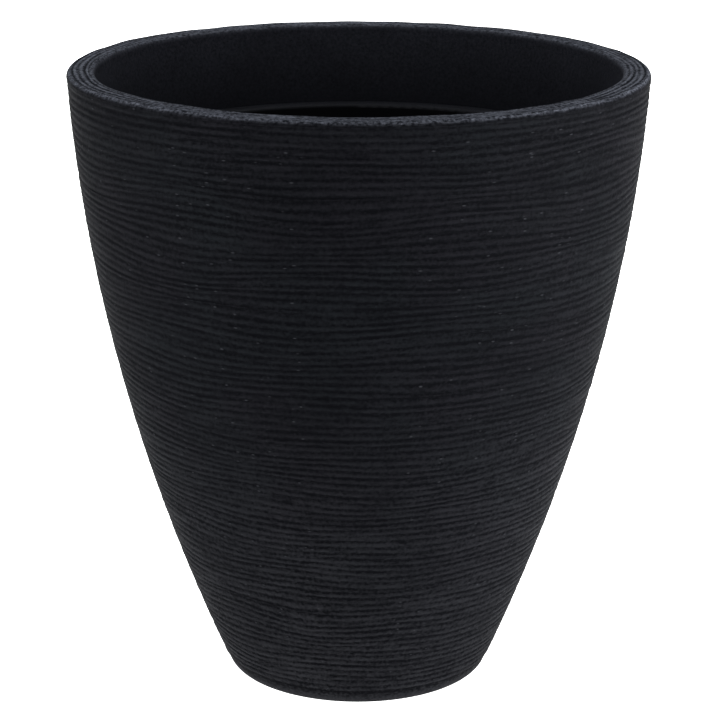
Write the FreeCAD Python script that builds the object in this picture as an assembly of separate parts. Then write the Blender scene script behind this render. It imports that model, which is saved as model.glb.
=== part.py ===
import FreeCAD, Part

import math
import os

# Round tapered planter: a ribbed double-walled pot with a drop-in liner.
# Millimetres. +Z is up, and the origin is the middle of the foot ring's flat face.
# Almost every piece is a half-section spun about Z. An inset is a distance inwards from
# the crests of the ribs.

# Outside of the pot
HEIGHT = 544.0
WALL_TOP_RADIUS = 250.6
WALL_MID_RADIUS = 208.0
WALL_FOOT_RADIUS = 113.8
RIM_INNER_RADIUS = 225.7
RIM_EDGE_ROUNDING = 5.0
RIM_RIDGE_COUNT = 3
RIB_COUNT = 89
RIB_DEPTH = 0.8
SKIN = 5.0

# Base and foot ring
BASE_EDGE_ROUNDING = 15.0
FOOT_RING_INNER_RADIUS = 92.0
RECESS_DEPTH = 20.0
RECESS_DRAFT = 6.0
RECESS_ROUNDING = 6.0

# Inner shell: the throat, the liner's seat and the inner floor
LIP_DEPTH = 10.0
LIP_THICKNESS = 4.0
TONGUE_DEPTH = 12.0
THROAT_FOOT_RADIUS = 218.0
SEAT_HEIGHT = 468.0
CAVITY_INSET = 36.0
INNER_SKIN = 4.0
INNER_FLOOR = 45.0
CAVITY_FLOOR_ROUNDING = 14.0
SEAT_ROUNDING = 2.0

# Foam between the shells
FOAM_TOP = 518.0
FOAM_GAP = 0.3

# Drain fitting, its gasket and nut, and the plug
SLEEVE_OUTER_RADIUS = 20.0
SLEEVE_BORE_RADIUS = 16.0
FLOOR_HOLE_RADIUS = 20.5
FLANGE_RADIUS = 34.0
FLANGE_THICKNESS = 5.0
FLANGE_FLAT_DISTANCE = 60.0
GASKET_THICKNESS = 2.0
GASKET_RADIUS = 32.0
SLEEVE_TAIL = 13.0
NUT_ACROSS_FLATS = 58.0
NUT_THICKNESS = 10.0
PLUG_SHANK_RADIUS = 15.7
PLUG_SHANK_LENGTH = 24.0
PLUG_HEAD_RADIUS = 24.0
PLUG_HEAD_THICKNESS = 4.0
GRIP_LENGTH = 34.0
GRIP_THICKNESS = 7.0
GRIP_HEIGHT = 14.0
SEAL_OUTER_RADIUS = 15.92
SEAL_INNER_RADIUS = 13.2
SEAL_HEIGHT = 3.5
SEAL_BELOW_HEAD = 10.0

# Liner
BODY_GAP = 0.3
LINER_FLANGE_RADIUS = 216.5
LINER_FLANGE_TOP = 473.0
LINER_SIDE_GAP = 3.0
LINER_WALL = 3.5
LINER_FLOOR_BOTTOM = 100.0
LINER_FLOOR_THICKNESS = 4.0
LINER_FLOOR_ROUNDING = 14.0
LINER_MOUTH_ROUNDING = 4.0
LINER_SLOT_COUNT = 10
LINER_SLOT_WIDTH = 3.6
LINER_SLOT_RADII = (34.0, 74.0)
LINER_BOSS_COUNT = 6
LINER_BOSS_CIRCLE = 84.0
LINER_BOSS_RADIUS = 7.0
LINER_BOSS_HEIGHT = 20.0

# Drainage grid
GRID_THICKNESS = 5.0
GRID_SIDE_GAP = 2.0
GRID_SLOT_WIDTH = 4.0
GRID_SLOT_ROWS = ((24.0, 46.0, 12), (52.0, 76.0, 20), (82.0, 106.0, 30))
GRID_FINGER_HOLE_RADIUS = 13.0

Z_AXIS = FreeCAD.Vector(0, 0, 1)
ORIGIN = FreeCAD.Vector(0, 0, 0)
LINER_OUTER_INSET = CAVITY_INSET + LINER_SIDE_GAP
LINER_INNER_INSET = LINER_OUTER_INSET + LINER_WALL
SKIN_INSET = RIB_DEPTH + SKIN


# --- the wall curve ------------------------------------------------------------------

def wall_radius(height):
    """Radius over the ribs at a height: a parabola through the foot, middle and top radii."""
    t = height / HEIGHT
    foot_share = (1 - t) * (1 - 2 * t)
    mid_share = 4 * t * (1 - t)
    top_share = t * (2 * t - 1)
    return foot_share * WALL_FOOT_RADIUS + mid_share * WALL_MID_RADIUS + top_share * WALL_TOP_RADIUS


def wall_slope(height):
    """How fast the wall's radius grows with height."""
    t = height / HEIGHT
    change = (4 * t - 3) * WALL_FOOT_RADIUS + (4 - 8 * t) * WALL_MID_RADIUS + (4 * t - 1) * WALL_TOP_RADIUS
    return change / HEIGHT


def throat_radius(height):
    """Radius of the cone that leads from the rim's lip down to the liner's seat."""
    share = (height - LINER_FLANGE_TOP) / (HEIGHT - LIP_DEPTH - LINER_FLANGE_TOP)
    return THROAT_FOOT_RADIUS + share * (RIM_INNER_RADIUS - THROAT_FOOT_RADIUS)


# --- drawing half-sections ------------------------------------------------------------

class Outline:
    """A closed half-section in the XZ plane, drawn edge by edge as radius and height."""

    def __init__(self, radius, height):
        self.start = FreeCAD.Vector(radius, 0, height)
        self.here = self.start
        self.edges = []

    def line(self, radius, height):
        end = FreeCAD.Vector(radius, 0, height)
        self.edges.append(Part.makeLine(self.here, end))
        self.here = end

    def bulge(self, radius, height, rise):
        """An arc to a point, standing out by rise on the left of the way there."""
        end = FreeCAD.Vector(radius, 0, height)
        way = end - self.here
        left = FreeCAD.Vector(-way.z, 0, way.x).normalize()
        crest = (self.here + end) * 0.5 + left * rise
        self.edges.append(Part.Arc(self.here, crest, end).toShape())
        self.here = end

    def turn(self, corner, after, rounding):
        """A line towards a corner, then a tangent arc onto the way to the point after it."""
        corner = FreeCAD.Vector(corner[0], 0, corner[1])
        back = (self.here - corner).normalize()
        ahead = (FreeCAD.Vector(after[0], 0, after[1]) - corner).normalize()
        half_angle = back.getAngle(ahead) / 2
        reach = rounding / math.tan(half_angle)
        middle = (back + ahead).normalize()
        crest = corner + middle * (rounding / math.sin(half_angle) - rounding)
        begin = corner + back * reach
        end = corner + ahead * reach
        self.line(begin.x, begin.z)
        self.edges.append(Part.Arc(begin, crest, end).toShape())
        self.here = end

    def wall(self, end_height, inset):
        """A stretch of the wall's parabola, moved inwards by inset, to a height."""
        rise = end_height - self.here.z
        pole = FreeCAD.Vector(self.here.x + wall_slope(self.here.z) * rise / 2, 0, self.here.z + rise / 2)
        end = FreeCAD.Vector(wall_radius(end_height) - inset, 0, end_height)
        curve = Part.BezierCurve()
        curve.setPoles([self.here, pole, end])
        self.edges.append(curve.toShape())
        self.here = end

    def spun(self):
        """The closed section turned once round Z, as a solid."""
        if self.here.distanceToPoint(self.start) > 1e-6:
            self.line(self.start.x, self.start.z)
        face = Part.Face(Part.Wire(self.edges))
        solid = face.revolve(ORIGIN, Z_AXIS, 360)
        return solid if solid.Volume > 0 else solid.reversed()


def wall_line_end(height, inset, floor):
    """Where the wall's tangent at a height meets a floor below it."""
    return wall_radius(height) - inset - wall_slope(height) * (height - floor)


def tube(outer_radius, inner_radius, bottom, top):
    """A plain ring with square edges."""
    outline = Outline(inner_radius, bottom)
    outline.line(outer_radius, bottom)
    outline.line(outer_radius, top)
    outline.line(inner_radius, top)
    return outline.spun()


def radial_slots(count, inner_radius, outer_radius, width, bottom, top):
    """Straight slot cutters pointing outwards, evenly spaced round Z."""
    cutters = []
    for index in range(count):
        corner = FreeCAD.Vector(inner_radius, -width / 2, bottom)
        cutter = Part.makeBox(outer_radius - inner_radius, width, top - bottom, corner)
        cutter.rotate(ORIGIN, Z_AXIS, 360 * index / count)
        cutters.append(cutter)
    return cutters


# --- the pot ---------------------------------------------------------------------------

def rib_grooves(bottom, top):
    """The bottoms of the grooves between ribs, evenly spaced along the wall, going up."""
    groove_line = Outline(wall_radius(bottom) - RIB_DEPTH, bottom)
    groove_line.wall(top, RIB_DEPTH)
    return groove_line.edges[0].discretize(RIB_COUNT + 1)


def make_outer_shell():
    rim_groove = HEIGHT - RIB_DEPTH
    rim_outer_radius = wall_radius(HEIGHT - RIM_EDGE_ROUNDING)
    rib_bottom = BASE_EDGE_ROUNDING
    rib_top = HEIGHT - RIM_EDGE_ROUNDING - RIB_DEPTH
    foot_radius = wall_line_end(rib_bottom, RIB_DEPTH, 0)

    # Underside: from the drain hole, over the recess and the foot ring, round the base edge
    outline = Outline(FLOOR_HOLE_RADIUS, RECESS_DEPTH)
    recess_corner = (FOOT_RING_INNER_RADIUS - RECESS_DRAFT, RECESS_DEPTH)
    ring_corner = (FOOT_RING_INNER_RADIUS, 0)
    outline.turn(recess_corner, ring_corner, RECESS_ROUNDING)
    outline.turn(ring_corner, (foot_radius, 0), RECESS_ROUNDING / 2)
    grooves = rib_grooves(rib_bottom, rib_top)
    outline.turn((foot_radius, 0), (grooves[0].x, grooves[0].z), BASE_EDGE_ROUNDING - RIB_DEPTH)
    outline.line(grooves[0].x, grooves[0].z)

    # Ribs up the wall, then over the rim
    for groove in grooves[1:]:
        outline.bulge(groove.x, groove.z, -RIB_DEPTH)
    ridge_start = rim_outer_radius - RIM_EDGE_ROUNDING
    ridge_end = RIM_INNER_RADIUS + RIM_EDGE_ROUNDING
    edge_rise = RIM_EDGE_ROUNDING * (1 - math.sqrt(0.5))
    outline.bulge(ridge_start, rim_groove, -edge_rise)
    for ridge in range(1, RIM_RIDGE_COUNT + 1):
        share = ridge / RIM_RIDGE_COUNT
        outline.bulge(ridge_start + share * (ridge_end - ridge_start), rim_groove, -RIB_DEPTH)
    outline.bulge(RIM_INNER_RADIUS, HEIGHT - RIM_EDGE_ROUNDING, -edge_rise)

    # Lip, and back down the inside of the skin
    lip_outer_radius = RIM_INNER_RADIUS + LIP_THICKNESS
    skin_top = HEIGHT - SKIN
    outline.line(RIM_INNER_RADIUS, HEIGHT - LIP_DEPTH)
    outline.line(lip_outer_radius, HEIGHT - LIP_DEPTH)
    outline.line(lip_outer_radius, skin_top)
    outline.line(wall_radius(skin_top) - SKIN_INSET, skin_top)
    outline.wall(SKIN * 3, SKIN_INSET)
    channel_radius = wall_line_end(SKIN * 3, SKIN_INSET, SKIN)
    channel_inner_radius = FOOT_RING_INNER_RADIUS + SKIN / 2
    outline.turn((channel_radius, SKIN), (channel_inner_radius, SKIN), SKIN)
    outline.line(channel_inner_radius, SKIN)
    outline.line(channel_inner_radius - RECESS_DRAFT, RECESS_DEPTH + SKIN)
    outline.line(FLOOR_HOLE_RADIUS, RECESS_DEPTH + SKIN)
    return outline.spun()


def make_inner_shell():
    lip_foot = HEIGHT - LIP_DEPTH
    skin_top = HEIGHT - SKIN
    tongue_inner_radius = RIM_INNER_RADIUS + LIP_THICKNESS
    tongue_outer_radius = tongue_inner_radius + INNER_SKIN
    seat_bottom = SEAT_HEIGHT - INNER_SKIN
    outer_inset = CAVITY_INSET - INNER_SKIN
    floor_bottom = INNER_FLOOR - INNER_SKIN
    bend = floor_bottom + 2 * CAVITY_FLOOR_ROUNDING

    # Hidden side: up from the drain hole, round the floor's corner, and up to the tongue
    outline = Outline(FLOOR_HOLE_RADIUS, floor_bottom)
    bend_point = (wall_radius(bend) - outer_inset, bend)
    corner_radius = wall_line_end(bend, outer_inset, floor_bottom)
    outline.turn((corner_radius, floor_bottom), bend_point, CAVITY_FLOOR_ROUNDING + INNER_SKIN)
    outline.line(*bend_point)
    outline.wall(seat_bottom, outer_inset)
    outline.line(throat_radius(seat_bottom) + INNER_SKIN, seat_bottom)
    outline.line(throat_radius(FOAM_TOP) + INNER_SKIN, FOAM_TOP)
    outline.line(tongue_outer_radius, lip_foot - TONGUE_DEPTH / 2)
    outline.line(tongue_outer_radius, skin_top)
    outline.line(tongue_inner_radius, skin_top)
    outline.line(tongue_inner_radius, lip_foot)

    # Open side: down the throat, over the seat, down the cavity and along the floor
    outline.line(RIM_INNER_RADIUS, lip_foot)
    outline.line(throat_radius(SEAT_HEIGHT), SEAT_HEIGHT)
    cavity_top_radius = wall_radius(SEAT_HEIGHT) - CAVITY_INSET
    below_seat = SEAT_HEIGHT - 2 * SEAT_ROUNDING
    below_seat_radius = wall_radius(below_seat) - CAVITY_INSET
    outline.turn((cavity_top_radius, SEAT_HEIGHT), (below_seat_radius, below_seat), SEAT_ROUNDING)
    outline.line(below_seat_radius, below_seat)
    outline.wall(bend, CAVITY_INSET)
    inner_corner_radius = wall_line_end(bend, CAVITY_INSET, INNER_FLOOR)
    outline.turn((inner_corner_radius, INNER_FLOOR), (FLOOR_HOLE_RADIUS, INNER_FLOOR), CAVITY_FLOOR_ROUNDING)
    outline.line(FLOOR_HOLE_RADIUS, INNER_FLOOR)
    return outline.spun()


def make_insulation_core():
    """Foam: stands on the base, carries the inner floor, and clears the curved skins a little."""
    base = RECESS_DEPTH + SKIN
    floor_bottom = INNER_FLOOR - INNER_SKIN
    outer_inset = SKIN_INSET + FOAM_GAP
    inner_inset = CAVITY_INSET - INNER_SKIN - FOAM_GAP
    seat_bottom = SEAT_HEIGHT - INNER_SKIN - FOAM_GAP
    hole_radius = FLOOR_HOLE_RADIUS + FOAM_GAP
    bend = floor_bottom + 2 * CAVITY_FLOOR_ROUNDING
    outline = Outline(hole_radius, base)
    outline.line(wall_radius(base) - outer_inset, base)
    outline.wall(FOAM_TOP, outer_inset)
    throat_clear = INNER_SKIN + FOAM_GAP
    outline.line(throat_radius(FOAM_TOP) + throat_clear, FOAM_TOP)
    outline.line(throat_radius(seat_bottom) + throat_clear, seat_bottom)
    outline.line(wall_radius(seat_bottom) - inner_inset, seat_bottom)
    outline.wall(bend, inner_inset)
    corner_radius = wall_line_end(bend, inner_inset, floor_bottom)
    outline.turn((corner_radius, floor_bottom), (hole_radius, floor_bottom), CAVITY_FLOOR_ROUNDING + INNER_SKIN)
    outline.line(hole_radius, floor_bottom)
    return outline.spun()


# --- drain ------------------------------------------------------------------------------

FLANGE_TOP = INNER_FLOOR + GASKET_THICKNESS + FLANGE_THICKNESS
PLUG_HEAD_BOTTOM = FLANGE_TOP + BODY_GAP


def make_drain_fitting():
    """Sleeve with a flange that has two flats for a spanner."""
    flange_bottom = INNER_FLOOR + GASKET_THICKNESS
    sleeve = tube(SLEEVE_OUTER_RADIUS, SLEEVE_BORE_RADIUS, RECESS_DEPTH - SLEEVE_TAIL, FLANGE_TOP)
    flange = tube(FLANGE_RADIUS, SLEEVE_BORE_RADIUS, flange_bottom, FLANGE_TOP)
    corner = FreeCAD.Vector(-FLANGE_FLAT_DISTANCE / 2, -FLANGE_RADIUS, flange_bottom)
    flats = Part.makeBox(FLANGE_FLAT_DISTANCE, 2 * FLANGE_RADIUS, FLANGE_THICKNESS, corner)
    return sleeve.fuse(flange.common(flats)).removeSplitter()


def make_fitting_gasket():
    return tube(GASKET_RADIUS, SLEEVE_OUTER_RADIUS, INNER_FLOOR, INNER_FLOOR + GASKET_THICKNESS)


def make_drain_locknut():
    """Six-sided nut, with a round collar, screwed on below the base."""
    bottom = RECESS_DEPTH - NUT_THICKNESS
    corner_radius = NUT_ACROSS_FLATS / math.sqrt(3)
    corners = []
    for index in range(7):
        angle = math.radians(60 * index)
        corners.append(FreeCAD.Vector(corner_radius * math.cos(angle), corner_radius * math.sin(angle), bottom))
    hexagon = Part.Face(Part.makePolygon(corners)).extrude(Z_AXIS * NUT_THICKNESS)
    collar = Part.makeCylinder(FLANGE_RADIUS, NUT_THICKNESS / 3, FreeCAD.Vector(0, 0, RECESS_DEPTH - NUT_THICKNESS / 3))
    bore = Part.makeCylinder(SLEEVE_OUTER_RADIUS, NUT_THICKNESS, FreeCAD.Vector(0, 0, bottom))
    return hexagon.fuse(collar).cut(bore).removeSplitter()


def make_drain_plug():
    """Bung with a groove for its seal and an upright grip that tapers to its top."""
    shank_bottom = PLUG_HEAD_BOTTOM - PLUG_SHANK_LENGTH
    seal_top = PLUG_HEAD_BOTTOM - SEAL_BELOW_HEAD
    head_top = PLUG_HEAD_BOTTOM + PLUG_HEAD_THICKNESS
    outline = Outline(0, shank_bottom)
    outline.line(PLUG_SHANK_RADIUS - 2, shank_bottom)
    outline.line(PLUG_SHANK_RADIUS, shank_bottom + 2)
    outline.line(PLUG_SHANK_RADIUS, seal_top - SEAL_HEIGHT)
    outline.line(SEAL_INNER_RADIUS, seal_top - SEAL_HEIGHT)
    outline.line(SEAL_INNER_RADIUS, seal_top)
    outline.line(PLUG_SHANK_RADIUS, seal_top)
    outline.line(PLUG_SHANK_RADIUS, PLUG_HEAD_BOTTOM)
    outline.line(PLUG_HEAD_RADIUS, PLUG_HEAD_BOTTOM)
    outline.turn((PLUG_HEAD_RADIUS, head_top), (0, head_top), PLUG_HEAD_THICKNESS / 3)
    outline.line(0, head_top)
    bung = outline.spun()
    corner = FreeCAD.Vector(-GRIP_LENGTH / 2, -GRIP_THICKNESS / 2, head_top - 1)
    grip = Part.makeBox(GRIP_LENGTH, GRIP_THICKNESS, GRIP_HEIGHT + 1, corner)
    upright = [edge for edge in grip.Edges if edge.BoundBox.ZLength > GRIP_HEIGHT]
    grip = grip.makeFillet(GRIP_THICKNESS / 2 - 0.1, upright)
    return bung.fuse(grip).removeSplitter()


def make_plug_seal():
    """Ring that fills the bung's groove and stands a little proud of the shank."""
    top = PLUG_HEAD_BOTTOM - SEAL_BELOW_HEAD
    bottom = top - SEAL_HEIGHT
    proud = SEAL_OUTER_RADIUS - PLUG_SHANK_RADIUS
    outline = Outline(SEAL_INNER_RADIUS, bottom)
    outline.line(PLUG_SHANK_RADIUS, bottom)
    outline.bulge(PLUG_SHANK_RADIUS, top, -proud)
    outline.line(SEAL_INNER_RADIUS, top)
    return outline.spun()


# --- liner and grid -----------------------------------------------------------------------

def make_liner():
    floor_top = LINER_FLOOR_BOTTOM + LINER_FLOOR_THICKNESS
    flange_bottom = SEAT_HEIGHT + BODY_GAP
    bend = LINER_FLOOR_BOTTOM + 2 * LINER_FLOOR_ROUNDING
    flange_rounding = (LINER_FLANGE_TOP - flange_bottom) / 3

    # Outside: floor, corner, wall, flange
    outline = Outline(0, LINER_FLOOR_BOTTOM)
    bend_point = (wall_radius(bend) - LINER_OUTER_INSET, bend)
    corner_radius = wall_line_end(bend, LINER_OUTER_INSET, LINER_FLOOR_BOTTOM)
    outline.turn((corner_radius, LINER_FLOOR_BOTTOM), bend_point, LINER_FLOOR_ROUNDING + LINER_WALL)
    outline.line(*bend_point)
    outline.wall(flange_bottom, LINER_OUTER_INSET)
    outline.line(LINER_FLANGE_RADIUS, flange_bottom)
    outline.turn((LINER_FLANGE_RADIUS, LINER_FLANGE_TOP), (0, LINER_FLANGE_TOP), flange_rounding)

    # Inside: over the rounded mouth and down
    mouth_bottom = LINER_FLANGE_TOP - 2 * LINER_MOUTH_ROUNDING
    mouth_radius = wall_radius(LINER_FLANGE_TOP) - LINER_INNER_INSET
    mouth_bottom_radius = wall_radius(mouth_bottom) - LINER_INNER_INSET
    outline.turn((mouth_radius, LINER_FLANGE_TOP), (mouth_bottom_radius, mouth_bottom), LINER_MOUTH_ROUNDING)
    outline.line(mouth_bottom_radius, mouth_bottom)
    outline.wall(bend, LINER_INNER_INSET)
    inner_corner_radius = wall_line_end(bend, LINER_INNER_INSET, floor_top)
    outline.turn((inner_corner_radius, floor_top), (0, floor_top), LINER_FLOOR_ROUNDING)
    outline.line(0, floor_top)
    slots = radial_slots(LINER_SLOT_COUNT, *LINER_SLOT_RADII, LINER_SLOT_WIDTH, LINER_FLOOR_BOTTOM - 1, floor_top + 1)

    # Bosses on the floor that carry the grid
    bosses = []
    for index in range(LINER_BOSS_COUNT):
        angle = 2 * math.pi * index / LINER_BOSS_COUNT
        foot = FreeCAD.Vector(LINER_BOSS_CIRCLE * math.cos(angle), LINER_BOSS_CIRCLE * math.sin(angle), floor_top - 1)
        bosses.append(Part.makeCone(LINER_BOSS_RADIUS, LINER_BOSS_RADIUS * 0.75, LINER_BOSS_HEIGHT + 1, foot))
    return outline.spun().cut(slots).fuse(bosses).removeSplitter()


def make_drainage_grid():
    """Flat slotted disc on the liner's bosses, with a finger hole in its middle."""
    bottom = LINER_FLOOR_BOTTOM + LINER_FLOOR_THICKNESS + LINER_BOSS_HEIGHT + BODY_GAP
    top = bottom + GRID_THICKNESS
    radius = wall_radius(bottom) - LINER_INNER_INSET - GRID_SIDE_GAP
    outline = Outline(GRID_FINGER_HOLE_RADIUS, bottom)
    outline.line(radius, bottom)
    outline.turn((radius, top), (0, top), GRID_THICKNESS / 3)
    outline.line(GRID_FINGER_HOLE_RADIUS, top)
    slots = []
    for inner_radius, outer_radius, count in GRID_SLOT_ROWS:
        slots += radial_slots(count, inner_radius, outer_radius, GRID_SLOT_WIDTH, bottom - 1, top + 1)
    return outline.spun().cut(slots)


# --- export ---------------------------------------------------------------------------------

PIECES = {
    "outer_shell": make_outer_shell,
    "inner_shell": make_inner_shell,
    "insulation_core": make_insulation_core,
    "drain_fitting": make_drain_fitting,
    "fitting_gasket": make_fitting_gasket,
    "drain_locknut": make_drain_locknut,
    "drain_plug": make_drain_plug,
    "plug_seal": make_plug_seal,
    "liner": make_liner,
    "drainage_grid": make_drainage_grid,
}

os.makedirs("parts", exist_ok=True)
for name, make in PIECES.items():
    shape = make()
    box = shape.BoundBox
    print(f"{name}: valid {shape.isValid()}, solids {len(shape.Solids)}, {shape.Volume / 1000:.1f} cm3, "
          f"radius {box.XMax:.2f}, z {box.ZMin:.2f} to {box.ZMax:.2f}")
    shape.exportStep(f"parts/{name}.step")
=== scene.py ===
import math

import bpy
import numpy as np
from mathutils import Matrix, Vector


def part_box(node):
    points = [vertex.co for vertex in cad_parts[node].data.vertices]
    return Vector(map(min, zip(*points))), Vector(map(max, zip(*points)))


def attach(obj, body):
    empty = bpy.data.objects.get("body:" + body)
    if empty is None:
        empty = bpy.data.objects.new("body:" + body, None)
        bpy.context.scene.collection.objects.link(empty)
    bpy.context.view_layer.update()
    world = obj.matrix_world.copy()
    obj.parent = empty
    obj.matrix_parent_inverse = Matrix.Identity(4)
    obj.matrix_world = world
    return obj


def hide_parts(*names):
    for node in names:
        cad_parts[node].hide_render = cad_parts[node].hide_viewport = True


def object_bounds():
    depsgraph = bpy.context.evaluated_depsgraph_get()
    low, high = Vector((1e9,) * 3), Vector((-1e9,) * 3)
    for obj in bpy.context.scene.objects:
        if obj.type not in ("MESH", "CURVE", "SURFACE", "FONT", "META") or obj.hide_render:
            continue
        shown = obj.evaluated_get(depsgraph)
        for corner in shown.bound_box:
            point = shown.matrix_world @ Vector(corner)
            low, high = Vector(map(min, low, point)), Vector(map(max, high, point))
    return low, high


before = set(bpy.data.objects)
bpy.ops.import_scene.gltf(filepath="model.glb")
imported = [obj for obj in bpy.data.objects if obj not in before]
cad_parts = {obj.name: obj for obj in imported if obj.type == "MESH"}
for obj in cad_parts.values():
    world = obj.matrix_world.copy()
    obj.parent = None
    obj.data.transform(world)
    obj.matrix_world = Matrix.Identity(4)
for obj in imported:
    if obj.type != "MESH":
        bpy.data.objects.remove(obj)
cad_low, cad_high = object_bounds()

# A round tapered planter in black moulded plastic. Metres, in the CAD model's frame.

MM = 0.001

# The shell's section, as in the CAD model. BASE_EDGE_END is the angle in degrees at which the base
# edge would meet an upright wall's first groove.
RIB_COUNT = 89
RIB_DEPTH = 0.8 * MM
RIM_RIDGE_COUNT = 3
RIM_EDGE_ROUNDING = 5.0 * MM
BASE_EDGE_ROUNDING = 15.0 * MM
BASE_EDGE_END = 352
RING_EDGE_ROUNDING = 3.0 * MM
RECESS_ROUNDING = 6.0 * MM
FOOT_DRAFT = 6.0 * MM
LIP_CLEARANCE = 4.0 * MM
TOUCHING = 0.1 * MM

# How finely the skin is drawn
COLUMNS = 184
RIB_PHASES = (0.0, 0.17, 0.38, 0.62, 0.83)
WALL_STEPS = 400
LAND_STEPS = 60
INNER_SKIN_STEPS = 24
SHARP_ANGLE = math.radians(60)

# The skin's unevenness. Waves are (lowest, highest, fall) for ring_waves; lifts are shares of the
# rib depth, as (mean, spread, least, most).
SKIN_SEED = 11
GROOVE_WANDER = 0.42 * MM
RIM_WANDER = 0.5 * MM
WANDER_WAVES = (1, 24, 0.55)
GROOVE_LIFT = (0.16, 0.14, 0.0, 0.75)
GROOVE_WAVES = (2, 24, 0.6)
CREST_LIFT = (0.9, 0.12, 0.35, 1.15)
CREST_WAVES = (2, 40, 0.4)
RIM_WAVE = 0.25 * MM
RIM_WAVES = (2, 40, 0.5)
PINCH_EVERY = 4
PINCH_WIDTH = (0.12, 0.45)
PINCH_SQUEEZE = 0.28
PINCH_DROP = 0.5
WARP_SIZE = 1.7 * MM
WARP_MODES = 40
WARP_WAVES = 7
WARP_FREE_SHARE = 1 / 12

# Zones of the skin, which its material tells apart; the rim's zone carries a painted top light
ON_WALL, ON_RIM, IN_MOUTH = 0, 1, 2
# Plain rows take painted groove shade by their relief; the underside less, as if lit from the
# floor
PLAIN_RELIEF = 0.6
UNDERSIDE_RELIEF = 1.0
SHOULDER_RELIEF = 0.5

# Tones of the skin, the roughness of its grooves and crests, and its bump as (strength, distance)
# Painted shade: the grooves are darker than the crests
GROOVE_PAINTED_SHADE = (0.0022, 0.0023, 0.0030)
CREST_TONE = (0.0074, 0.0074, 0.0091)
CREST_COOL_TONE = (0.0066, 0.0074, 0.0087)
# Painted light from the floor: the wall is lighter towards the base, up to the height below
PAINTED_FLOOR_LIGHT = (0.0166, 0.0168, 0.0192)
PAINTED_FLOOR_LIGHT_TOP = 0.32
# Painted light and shade on the rim: a far lighter top, darker in the grooves of its ridges
RIM_GROOVE_PAINTED_LIGHT_AND_SHADE = (0.0100, 0.0108, 0.0136)
RIM_PAINTED_LIGHT = (0.1380, 0.1450, 0.1720)
INSIDE_DARK = (0.0325, 0.0335, 0.0408)
INSIDE_LIGHT = (0.0430, 0.0444, 0.0540)
SPECK_TONE = (0.0220, 0.0226, 0.0258)
SHELL_SPECULAR = 0.0065
SHELL_ROUGHNESS = (0.72, 0.55)
SHELL_BUMP = (0.5, 0.3 * MM)

# Noise in the materials: scales, how much it lifts the tone, and how far it is squeezed across
# the ribs
NOISE_RANGE = (0.3, 0.7)
PATCH_SCALE = 7.0
HUE_SCALE = 11.0
MOTTLE_SCALE = 14.0
GRAIN_SCALE = 380.0
GRAIN_DEPTH = 0.38
GRAIN_SHADE = 0.4
GRAIN_SHADE_RANGE = (0.28, 0.72)
GRAIN_CONTRAST = 0.8
DASH_SCALE = 190.0
DASH_DEPTH = 0.3
DASH_SQUEEZE = (1, 1, 3.5)
STREAK_SCALE = 70.0
STREAK_DEPTH = 0.2
STREAK_SQUEEZE = (1, 1, 8)
SPECK_SCALE = 230.0
SPECK_SIZE = 0.24
SPECK_SHARE = 0.2
SPECK_SQUEEZE = (0.5, 0.5, 1.7)

# The pieces that keep their CAD shape: nodes, material, darkest and lightest tone, scale of the
# grain, roughness, specular level, bump depth and, where painted shade darkens the tone with
# depth, (low, high, share left at the low height)
FINE_GRAIN_SCALE = 900.0
PLASTICS = (
    # The inner wall and the liner have painted shade, darker with depth
    (("inner_shell",), "inner_wall_plastic", INSIDE_DARK, INSIDE_LIGHT,
     GRAIN_SCALE, 0.62, 0.008, 0.4 * MM, (0.45, 0.54, 0.42)),
    (("liner",), "liner_plastic", (0.0165, 0.0169, 0.0204), (0.0215, 0.0221, 0.0266),
     FINE_GRAIN_SCALE, 0.55, 0.05, 0.12 * MM, (0.4695, 0.4725, 0.28)),
    (("drainage_grid",), "grid_plastic", (0.020, 0.020, 0.021), (0.026, 0.026, 0.027),
     FINE_GRAIN_SCALE, 0.48, 0.3, 0.12 * MM, None),
    (("drain_fitting", "drain_locknut"), "drain_plastic",
     (0.030, 0.030, 0.032), (0.038, 0.038, 0.040),
     FINE_GRAIN_SCALE, 0.42, 0.4, 0.12 * MM, None),
    (("drain_plug",), "plug_plastic", (0.10, 0.10, 0.105), (0.13, 0.13, 0.135),
     FINE_GRAIN_SCALE, 0.42, 0.4, 0.12 * MM, None),
    (("fitting_gasket", "plug_seal"), "seal_rubber", (0.012, 0.012, 0.012), (0.018, 0.018, 0.018),
     1500.0, 0.8, 0.3, 0.08 * MM, None),
)
GRAIN_ROUGHNESS_SPREAD = 0.07
GRAIN_BUMP_STRENGTH = 0.45

# The foam core
FOAM_DARK = (0.72, 0.66, 0.48)
FOAM_LIGHT = (0.80, 0.76, 0.60)
FOAM_CELL_SCALE = 420.0
FOAM_TINT_SCALE = 30.0
FOAM_ROUGHNESS = (0.82, 0.95)
FOAM_BUMP = (0.6, 0.6 * MM)

# The camera, 16 degrees above level and a long way off
CAMERA_DISTANCE = 2.298
CAMERA_HEIGHT = 0.945
CAMERA_PITCH = 16.11
CAMERA_ROLL = 0.17
CAMERA_LENS = 135.0
CAMERA_SENSOR = 36.0
CAMERA_SHIFT = 0.0028
CAMERA_REACH = 100.0

# The light. HORIZON is the range of the view's height over which the horizon's light falls to
# the sky's. Softboxes are (name, place, diameter, power, colour).
WORLD_TINT = (0.96, 0.985, 1.05, 1.0)
HORIZON = (0.06, 0.3)
HORIZON_STRENGTH = 1.1
SKY_STRENGTH = 0.2
SOFTBOXES = (
    ("top_softbox", (0.0, 0.6, 4.0), 5.0, 115.0, (0.95, 0.98, 1.0)),
    ("left_softbox", (-2.6, -0.65, 0.27), 0.54, 48.0, (0.97, 0.99, 1.0)),
    ("right_softbox", (2.6, -0.65, 0.27), 0.54, 115.0, (0.97, 0.99, 1.0)),
)

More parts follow.
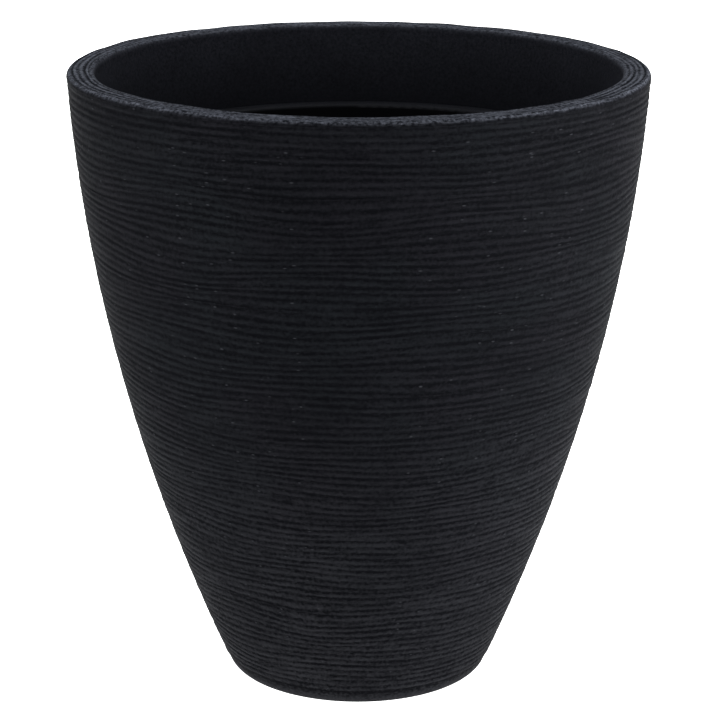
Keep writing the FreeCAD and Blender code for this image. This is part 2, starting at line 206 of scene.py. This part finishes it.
# The floor
FLOOR_RADIUS = 14.0
FLOOR_SIDES = 96
FLOOR_DARK = (0.89, 0.89, 0.885)
FLOOR_LIGHT = (0.91, 0.91, 0.905)
FLOOR_NOISE_SCALE = 3.0
FLOOR_ROUGHNESS = (0.85, 0.95)
FLOOR_SPECULAR = 0.1
FLOOR_GLOW = 1.9


# --- measuring the CAD shell ------------------------------------------------------------------

def node_points(name):
    """A CAD node's vertices as radius and height."""
    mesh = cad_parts[name].data
    flat = np.empty(len(mesh.vertices) * 3)
    mesh.vertices.foreach_get("co", flat)
    points = flat.reshape(-1, 3)
    return np.hypot(points[:, 0], points[:, 1]), points[:, 2]


def crest_curve(radius, height, band):
    """A parabola of radius against height that lies on the crests of the CAD ribs.

    It is fitted to the outermost point near each of nine heights, four times over, since which
    point stands out furthest depends on the curve.
    """
    heights = np.linspace(0.1, 0.9, 9) * height.max()
    curve = np.zeros(3)
    for _ in range(4):
        above = radius - np.polyval(curve, height)
        crests = [above[abs(height - h) < band].max() + np.polyval(curve, h) for h in heights]
        curve = np.polyfit(heights, crests, 2)
    return curve


shell_radius, shell_height = node_points("outer_shell")
HEIGHT = shell_height.max()
RIB_PITCH = HEIGHT / RIB_COUNT
CREST = crest_curve(shell_radius, shell_height, RIB_PITCH)
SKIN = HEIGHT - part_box("inner_shell")[1].z
on_foot = shell_height < TOUCHING
RING_INNER = shell_radius[on_foot].min()
RING_OUTER = shell_radius[on_foot].max()
HOLE = shell_radius.min()
RECESS = shell_height[shell_radius < HOLE + TOUCHING].min()
in_rim = shell_height > HEIGHT - SKIN
RIM_INNER = shell_radius[in_rim].min()
on_lip = (abs(shell_radius - RIM_INNER) < TOUCHING) & (shell_height > HEIGHT / 2)
LIP_FOOT = shell_height[on_lip].min()
LIP_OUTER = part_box("inner_shell")[1].x - LIP_CLEARANCE


def crest_radius(height):
    """The wall's outer radius at a height, over the ribs' crests."""
    return np.polyval(CREST, height)


# --- seeded unevenness ------------------------------------------------------------------------

angles = np.arange(COLUMNS) * 2 * math.pi / COLUMNS
random = np.random.default_rng(SKIN_SEED)


def ring_waves(count, lowest, highest, fall):
    """Rows of smooth noise round the planter, each about one high."""
    waves = np.arange(lowest, highest + 1)
    size = waves ** -fall
    phase = random.uniform(0, 2 * math.pi, (count, len(waves), 1))
    rows = (size[:, None] * np.cos(waves[:, None] * angles + phase)).sum(axis=1)
    return rows / math.sqrt((size ** 2).sum() / 2)


def lift_rows(count, lift, waves):
    """Rows of relief round the planter, from a lift and its waves."""
    mean, spread, least, most = lift
    return np.clip(mean + spread * ring_waves(count, *waves), least, most)


def skin_warp(share):
    """Slow noise over the whole skin, about one high, which neighbouring ribs follow together."""
    total = np.zeros((len(share), COLUMNS))
    for _ in range(WARP_MODES):
        around = random.integers(1, WARP_WAVES + 1)
        up = random.uniform(0.5, WARP_WAVES)
        first, second = random.uniform(0, 2 * math.pi, 2)
        rows = np.cos(2 * math.pi * up * share[:, None] + second)
        total += np.cos(around * angles + first) * rows
    return total / math.sqrt(WARP_MODES / 4)


# --- the ribbed shell -------------------------------------------------------------------------

def lengths_along(points):
    """How far along a line each of its points is."""
    steps = np.linalg.norm(np.diff(points, axis=0), axis=1)
    return np.concatenate([[0], np.cumsum(steps)])


def pinch_ribs(count, pitch, shift, crest):
    """Squeezes a rib here and there between its neighbours, over part of the way round."""
    for rib in range(PINCH_EVERY - 1, count - PINCH_EVERY + 1, PINCH_EVERY):
        middle = random.uniform(0, 2 * math.pi)
        width = random.uniform(*PINCH_WIDTH)
        apart = np.angle(np.exp(1j * (angles - middle)))
        pinch = np.exp(-(apart / width) ** 4)
        shift[rib] += PINCH_SQUEEZE * pitch * pinch
        shift[rib + 1] -= PINCH_SQUEEZE * pitch * pinch
        crest[rib] *= 1 - PINCH_DROP * pinch


def ribbed_rows(points, count, wander, warp_size):
    """Rows of radius, height and relief round a stretch of skin, with a groove at each end.

    points is the groove line, closely spaced. The rows follow the ribs where they wander.
    """
    along = lengths_along(points)
    length = along[-1]
    pitch = length / count
    free = np.ones((count + 1, 1))
    free[0] = free[-1] = 0
    shift = wander * ring_waves(count + 1, *WANDER_WAVES) * free
    groove = lift_rows(count + 1, GROOVE_LIFT, GROOVE_WAVES) * free
    crest = lift_rows(count, CREST_LIFT, CREST_WAVES)
    pinch_ribs(count, pitch, shift, crest)

    place, relief = [], []
    for rib in range(count):
        near = rib * pitch + shift[rib]
        far = (rib + 1) * pitch + shift[rib + 1]
        for phase in RIB_PHASES:
            arch = math.sin(math.pi * phase) ** 2
            floor = groove[rib] * (1 - phase) + groove[rib + 1] * phase
            place.append(near * (1 - phase) + far * phase)
            relief.append(floor * (1 - arch) + crest[rib] * arch)
    place, relief = np.array(place), np.array(relief)
    share = place.mean(axis=1) / length
    ends = np.minimum(1, np.minimum(share, 1 - share) / WARP_FREE_SHARE)
    place += warp_size * skin_warp(share) * ends[:, None]
    place = np.clip(place, 0, length)

    tangent = np.gradient(points, along, axis=0)
    radius = np.interp(place, along, points[:, 0])
    height = np.interp(place, along, points[:, 1])
    out_radius = np.interp(place, along, tangent[:, 1])
    out_height = np.interp(place, along, -tangent[:, 0])
    lift = RIB_DEPTH * relief
    return radius + out_radius * lift, height + out_height * lift, relief


def plain_rows(points, relief=PLAIN_RELIEF):
    """Rows with no ribs: one ring for each (radius, height), coloured as if at that relief."""
    points = np.array(points)
    radius = np.repeat(points[:, :1], COLUMNS, axis=1)
    height = np.repeat(points[:, 1:], COLUMNS, axis=1)
    return radius, height, np.full_like(radius, relief)


def in_zone(rows, zone):
    """Adds to rows the zone they are in, which may change from row to row."""
    zone = np.broadcast_to(np.reshape(zone, (-1, 1)), rows[0].shape)
    return (*rows, zone)


def arc(centre, size, start, end, count):
    """Points on a circular arc between two angles in degrees, ends included."""
    turns = np.radians(np.linspace(start, end, count))
    across, up = centre
    return [(across + size * math.cos(turn), up + size * math.sin(turn)) for turn in turns]


def underside_line():
    """From the drain hole over the recess and the foot ring, and round the base edge."""
    corner = RING_INNER - FOOT_DRAFT - 8 * MM
    line = [(HOLE, RECESS), (corner - 4 * MM, RECESS)]
    line += arc((corner, RECESS - RECESS_ROUNDING), RECESS_ROUNDING, 85, 17, 6)
    ring_corner = (RING_INNER + RING_EDGE_ROUNDING * 0.2, RING_EDGE_ROUNDING)
    line += arc(ring_corner, RING_EDGE_ROUNDING, 197, 270, 6)
    line += [(RING_OUTER - RING_EDGE_ROUNDING, 0.0)]
    lean = math.degrees(math.atan(np.polyval(np.polyder(CREST), BASE_EDGE_ROUNDING)))
    edge = BASE_EDGE_ROUNDING - RIB_DEPTH
    return line + arc((RING_OUTER, edge), edge, 270, BASE_EDGE_END - lean, 9)


def hidden_line():
    """Back down the skin's hidden side to the drain hole."""
    heights = np.linspace(HEIGHT - SKIN, 3 * SKIN, INNER_SKIN_STEPS)
    wall = np.column_stack([crest_radius(heights) - RIB_DEPTH - SKIN, heights])
    channel = RING_INNER + SKIN / 2
    line = [(wall[0, 0], HEIGHT - SKIN)] + wall.tolist()
    line += [(channel + 4 * MM, SKIN), (channel, SKIN)]
    return line + [(channel - FOOT_DRAFT, RECESS + SKIN), (HOLE, RECESS + SKIN)]


def shell_rows():
    """The shell's closed section, as rows of radius, height, relief and zone."""
    edge_height = HEIGHT - RIM_EDGE_ROUNDING
    heights = np.linspace(BASE_EDGE_ROUNDING, edge_height, WALL_STEPS)
    wall = np.column_stack([crest_radius(heights) - RIB_DEPTH, heights])
    ridge_start = wall[-1, 0] + RIB_DEPTH - RIM_EDGE_ROUNDING
    ridge_end = RIM_INNER + RIM_EDGE_ROUNDING
    shoulder = arc((ridge_start, edge_height), RIM_EDGE_ROUNDING, 0, 80, 7)
    # The rim's painted top light reaches down over the shoulder
    shoulder_zone = np.clip(np.linspace(-0.8, 2.0, len(shoulder)), ON_WALL, ON_RIM)
    land_radius = np.linspace(ridge_start, ridge_end, LAND_STEPS)
    land = np.column_stack([land_radius, np.full(LAND_STEPS, HEIGHT - RIB_DEPTH)])
    bead = arc((ridge_end, edge_height), RIM_EDGE_ROUNDING, 100, 180, 7)
    # The bead passes from the rim's painted top light to the mouth's tone
    bead_zone = np.clip(np.linspace(0.6, 2.8, len(bead)), ON_RIM, IN_MOUTH)
    lip = [(RIM_INNER, LIP_FOOT), (LIP_OUTER, LIP_FOOT), (LIP_OUTER, HEIGHT - SKIN)]
    sections = [
        in_zone(plain_rows(underside_line(), UNDERSIDE_RELIEF), ON_WALL),
        in_zone(ribbed_rows(wall, RIB_COUNT, GROOVE_WANDER, WARP_SIZE), ON_WALL),
        in_zone(plain_rows(shoulder, SHOULDER_RELIEF), shoulder_zone),
        in_zone(ribbed_rows(land, RIM_RIDGE_COUNT, RIM_WANDER, 0.0), ON_RIM),
        in_zone(plain_rows(bead), bead_zone),
        in_zone(plain_rows(lip), IN_MOUTH),
        in_zone(plain_rows(hidden_line()), ON_WALL),
    ]
    radius, height, relief, zone = [np.vstack(rows) for rows in zip(*sections)]
    in_top = np.clip((height - HEIGHT + SKIN) / SKIN, 0, 1)
    height = height + RIM_WAVE * ring_waves(1, *RIM_WAVES) * in_top
    return radius, height, relief, zone


def unrolled(radius, height):
    """Coordinates over the skin: round the mouth's circle, and along the section."""
    along = lengths_along(np.column_stack([radius.mean(axis=1), height.mean(axis=1)]))
    mouth = crest_radius(HEIGHT)
    parts = (mouth * np.cos(angles), mouth * np.sin(angles), along[:, None])
    return np.stack([np.broadcast_to(part, radius.shape) for part in parts], axis=-1)


def paint(mesh, label, kind, field, values):
    """Stores a value at each point of a mesh, for its material to read."""
    layer = mesh.attributes.new(label, kind, "POINT")
    layer.data.foreach_set(field, values.ravel().astype(np.float32))


def ring_mesh(name, radius, height, relief, zone):
    """A closed skin through rows of rings, joined from each row to the next and last to first."""
    points = np.stack([radius * np.cos(angles), radius * np.sin(angles), height], axis=-1)
    index = np.arange(radius.size).reshape(radius.shape)
    above = np.roll(index, -1, axis=0)
    corners = [index, np.roll(index, -1, axis=1), np.roll(above, -1, axis=1), above]
    faces = np.stack(corners, axis=-1).reshape(-1, 4)
    mesh = bpy.data.meshes.new(name)
    mesh.from_pydata(points.reshape(-1, 3).tolist(), [], faces.tolist())
    paint(mesh, "relief", "FLOAT", "value", relief)
    paint(mesh, "zone", "FLOAT", "value", zone)
    paint(mesh, "skin", "FLOAT_VECTOR", "vector", unrolled(radius, height))
    mesh.validate()
    mesh.shade_smooth()
    mesh.set_sharp_from_angle(angle=SHARP_ANGLE)
    piece = bpy.data.objects.new(name, mesh)
    bpy.context.collection.objects.link(piece)
    return piece


# --- materials --------------------------------------------------------------------------------

class Look:
    """A material built from noise, with a few helpers for its nodes."""

    def __init__(self, name):
        self.material = bpy.data.materials.new(name)
        self.material.use_nodes = True
        self.nodes = self.material.node_tree.nodes
        self.links = self.material.node_tree.links
        self.shader = self.nodes["Principled BSDF"]
        self.place = self.nodes.new("ShaderNodeTexCoord").outputs["Object"]

    def attribute(self, name, output="Fac"):
        node = self.nodes.new("ShaderNodeAttribute")
        node.attribute_name = name
        return node.outputs[output]

    def stretched(self, scale, place):
        mapping = self.nodes.new("ShaderNodeMapping")
        mapping.inputs["Scale"].default_value = scale
        self.links.new(place, mapping.inputs["Vector"])
        return mapping.outputs["Vector"]

    def noise(self, scale, detail, roughness=0.55, stretch=(1, 1, 1), place=None):
        noise = self.nodes.new("ShaderNodeTexNoise")
        noise.inputs["Scale"].default_value = scale
        noise.inputs["Detail"].default_value = detail
        noise.inputs["Roughness"].default_value = roughness
        self.links.new(self.stretched(stretch, place or self.place), noise.inputs["Vector"])
        return noise.outputs["Fac"]

    def ramp(self, value, low, high, from_value=0.0, to_value=1.0):
        """Maps low..high of a value to from_value..to_value, held at the ends."""
        fit = self.nodes.new("ShaderNodeMapRange")
        fit.inputs["From Min"].default_value = low
        fit.inputs["From Max"].default_value = high
        fit.inputs["To Min"].default_value = from_value
        fit.inputs["To Max"].default_value = to_value
        self.links.new(value, fit.inputs["Value"])
        return fit.outputs["Result"]

    def spread(self, noise, from_value=0.0, to_value=1.0):
        """Maps the range that noise mostly keeps to from from_value to to_value."""
        return self.ramp(noise, *NOISE_RANGE, from_value, to_value)

    def maths(self, operation, first, second):
        node = self.nodes.new("ShaderNodeMath")
        node.operation = operation
        for socket, value in zip(node.inputs, (first, second)):
            if isinstance(value, float):
                socket.default_value = value
            else:
                self.links.new(value, socket)
        return node.outputs["Value"]

    def blend(self, factor, first, second):
        mix = self.nodes.new("ShaderNodeMix")
        mix.data_type = "RGBA"
        self.links.new(factor, mix.inputs["Factor"])
        for socket, value in ((mix.inputs[6], first), (mix.inputs[7], second)):
            if isinstance(value, tuple):
                socket.default_value = (*value, 1.0)
            else:
                self.links.new(value, socket)
        return mix.outputs[2]

    def height_share(self, low, high):
        """0 below one height, 1 above another."""
        split = self.nodes.new("ShaderNodeSeparateXYZ")
        self.links.new(self.place, split.inputs["Vector"])
        return self.ramp(split.outputs["Z"], low, high)

    def grained(self, grain, dark, light):
        """A tone with slow patches, darkened by the grain."""
        tone = self.blend(self.spread(self.noise(MOTTLE_SCALE, 4.0)), dark, light)
        shade = tuple(GRAIN_SHADE * part for part in dark)
        return self.blend(self.ramp(grain, *GRAIN_SHADE_RANGE, GRAIN_CONTRAST, 0.0), tone, shade)

    def specks(self, place):
        """Small scattered dots: one where a cell is kept and the point is near its middle."""
        cells = self.nodes.new("ShaderNodeTexVoronoi")
        cells.inputs["Scale"].default_value = SPECK_SCALE
        self.links.new(self.stretched(SPECK_SQUEEZE, place), cells.inputs["Vector"])
        kept = self.maths("GREATER_THAN", cells.outputs["Color"], 1.0 - SPECK_SHARE)
        dot = self.ramp(cells.outputs["Distance"], SPECK_SIZE * 0.5, SPECK_SIZE, 1.0, 0.0)
        return self.maths("MULTIPLY", kept, dot)

    def bump(self, height, strength, distance):
        node = self.nodes.new("ShaderNodeBump")
        node.inputs["Strength"].default_value = strength
        node.inputs["Distance"].default_value = distance
        self.links.new(height, node.inputs["Height"])
        self.links.new(node.outputs["Normal"], self.shader.inputs["Normal"])

    def feed(self, socket, value):
        """Gives the shader a value: a number on its own socket, or another node's output."""
        if isinstance(value, float):
            self.shader.inputs[socket].default_value = value
        else:
            self.links.new(value, self.shader.inputs[socket])


def ribbed_plastic():
    """Black plastic with painted shade in the grooves, painted light low on the wall and on the
    rim, light dashes on the crests and a few specks.
    """
    look = Look("ribbed_black_plastic")
    zone = look.attribute("zone")
    skin = look.attribute("skin", "Vector")
    patches = look.noise(PATCH_SCALE, 3.0)
    hues = look.noise(HUE_SCALE, 3.0)
    grain = look.noise(GRAIN_SCALE, 2.0, 0.6)
    dashes = look.noise(DASH_SCALE, 5.0, 0.7, DASH_SQUEEZE, skin)
    streaks = look.noise(STREAK_SCALE, 3.0, 0.6, STREAK_SQUEEZE, skin)
    lifted = look.attribute("relief")
    for noise, depth in ((dashes, DASH_DEPTH), (grain, GRAIN_DEPTH), (streaks, STREAK_DEPTH)):
        lifted = look.maths("ADD", lifted, look.spread(noise, -depth, depth))

    crests = look.blend(look.ramp(hues, 0.4, 0.6), CREST_TONE, CREST_COOL_TONE)
    # Painted light from the floor, lighter towards the base
    crests = look.blend(look.height_share(0.0, PAINTED_FLOOR_LIGHT_TOP), PAINTED_FLOOR_LIGHT, crests)
    # Painted shade in the grooves
    wall = look.blend(look.ramp(lifted, 0.1, 1.1), GROOVE_PAINTED_SHADE, crests)
    # Darker patches at random, in the tone of the painted groove shade
    wall = look.blend(look.ramp(patches, 0.35, 0.65, 0.0, 0.35), wall, GROOVE_PAINTED_SHADE)
    # Painted top light on the rim, with painted shade in its grooves
    rim_painted_light = look.blend(look.ramp(lifted, 0.2, 1.2), RIM_GROOVE_PAINTED_LIGHT_AND_SHADE, RIM_PAINTED_LIGHT)
    inside = look.grained(grain, INSIDE_DARK, INSIDE_LIGHT)
    tone = look.blend(look.ramp(zone, ON_WALL, ON_RIM), wall, rim_painted_light)
    tone = look.blend(look.ramp(zone, ON_RIM, IN_MOUTH), tone, inside)
    tone = look.blend(look.specks(skin), tone, SPECK_TONE)
    look.feed("Base Color", tone)
    look.feed("Roughness", look.ramp(lifted, 0.1, 1.0, *SHELL_ROUGHNESS))
    look.feed("Specular IOR Level", SHELL_SPECULAR)
    look.bump(look.maths("ADD", grain, dashes), *SHELL_BUMP)
    return look.material


def grained_plastic(name, dark, light, grain_scale, roughness, specular, bump_depth, fall):
    """Moulded plastic with a fine even grain and slow changes of tone.

    fall is None, or (low, high, share): painted shade, in which the tone falls with depth to
    that share of itself.
    """
    look = Look(name)
    grain = look.noise(grain_scale, 2.0, 0.6)
    tone = look.grained(grain, dark, light)
    if fall:
        low, high, share = fall
        # Painted shade, darker with depth
        tone = look.blend(look.height_share(low, high), tuple(share * part for part in dark), tone)
    look.feed("Base Color", tone)
    smooth, rough = roughness - GRAIN_ROUGHNESS_SPREAD, roughness + GRAIN_ROUGHNESS_SPREAD
    look.feed("Roughness", look.spread(grain, smooth, rough))
    look.feed("Specular IOR Level", specular)
    look.bump(grain, GRAIN_BUMP_STRENGTH, bump_depth)
    return look.material


def closed_foam():
    """Pale foam with a bump from its cells."""
    look = Look("foam_core")
    cells = look.nodes.new("ShaderNodeTexVoronoi")
    cells.inputs["Scale"].default_value = FOAM_CELL_SCALE
    look.links.new(look.place, cells.inputs["Vector"])
    tint = look.noise(FOAM_TINT_SCALE, 3.0)
    look.feed("Base Color", look.blend(look.spread(tint), FOAM_DARK, FOAM_LIGHT))
    look.feed("Roughness", look.spread(tint, *FOAM_ROUGHNESS))
    look.bump(cells.outputs["Distance"], *FOAM_BUMP)
    return look.material


def pale_floor():
    """White floor that glows enough to show no edge against the horizon."""
    look = Look("pale_floor")
    tint = look.noise(FLOOR_NOISE_SCALE, 4.0)
    tone = look.blend(look.spread(tint), FLOOR_DARK, FLOOR_LIGHT)
    look.feed("Base Color", tone)
    look.feed("Roughness", look.spread(tint, *FLOOR_ROUGHNESS))
    look.feed("Specular IOR Level", FLOOR_SPECULAR)
    look.feed("Emission Color", tone)
    look.feed("Emission Strength", FLOOR_GLOW)
    return look.material


def put_on(node, material):
    """Gives a CAD node the material, on its own slots."""
    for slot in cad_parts[node].material_slots:
        slot.material = material


# --- the room ---------------------------------------------------------------------------------

def add_camera():
    data = bpy.data.cameras.new("camera")
    data.lens = CAMERA_LENS
    data.sensor_width = CAMERA_SENSOR
    data.shift_x = CAMERA_SHIFT
    data.clip_end = CAMERA_REACH
    camera = bpy.data.objects.new("camera", data)
    camera.location = (0.0, -CAMERA_DISTANCE, CAMERA_HEIGHT)
    camera.rotation_euler = (math.radians(90 - CAMERA_PITCH), 0.0, 0.0)
    camera.rotation_euler.rotate_axis("Z", math.radians(CAMERA_ROLL))
    bpy.context.collection.objects.link(camera)
    bpy.context.scene.camera = camera


def add_world():
    world = bpy.data.worlds.new("studio")
    world.use_nodes = True
    nodes, links = world.node_tree.nodes, world.node_tree.links
    background = nodes["Background"]
    split = nodes.new("ShaderNodeSeparateXYZ")
    links.new(nodes.new("ShaderNodeTexCoord").outputs["Generated"], split.inputs["Vector"])
    height = nodes.new("ShaderNodeMapRange")
    height.inputs["From Min"].default_value = HORIZON[0]
    height.inputs["From Max"].default_value = HORIZON[1]
    height.inputs["To Min"].default_value = HORIZON_STRENGTH
    height.inputs["To Max"].default_value = SKY_STRENGTH
    links.new(split.outputs["Z"], height.inputs["Value"])
    background.inputs["Color"].default_value = WORLD_TINT
    links.new(height.outputs["Result"], background.inputs["Strength"])
    bpy.context.scene.world = world


def add_softbox(name, place, size, power, colour):
    """A round softbox that faces the middle of the planter."""
    data = bpy.data.lights.new(name, "AREA")
    data.shape = "DISK"
    data.size = size
    data.energy = power
    data.color = colour
    light = bpy.data.objects.new(name, data)
    light.location = place
    aim = Vector((0, 0, cad_high.z / 2)) - Vector(place)
    light.rotation_euler = aim.to_track_quat("-Z", "Y").to_euler()
    bpy.context.collection.objects.link(light)


def add_floor():
    mesh = bpy.data.meshes.new("floor")
    turns = np.linspace(0, 2 * math.pi, FLOOR_SIDES, endpoint=False)
    edge = [(FLOOR_RADIUS * math.cos(turn), FLOOR_RADIUS * math.sin(turn), 0.0) for turn in turns]
    mesh.from_pydata(edge, [], [list(range(FLOOR_SIDES))])
    mesh.materials.append(pale_floor())
    floor = bpy.data.objects.new("floor", mesh)
    floor.location.z = cad_low.z
    bpy.context.collection.objects.link(floor)


# --- putting it together ----------------------------------------------------------------------

bpy.context.scene.view_settings.view_transform = "Standard"
add_camera()
add_world()
for softbox in SOFTBOXES:
    add_softbox(*softbox)
add_floor()

shell = ring_mesh("ribbed_shell", *shell_rows())
shell.data.materials.append(ribbed_plastic())
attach(shell, "pot")
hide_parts("outer_shell")

for nodes, *settings in PLASTICS:
    plastic = grained_plastic(*settings)
    for node in nodes:
        put_on(node, plastic)
put_on("insulation_core", closed_foam())
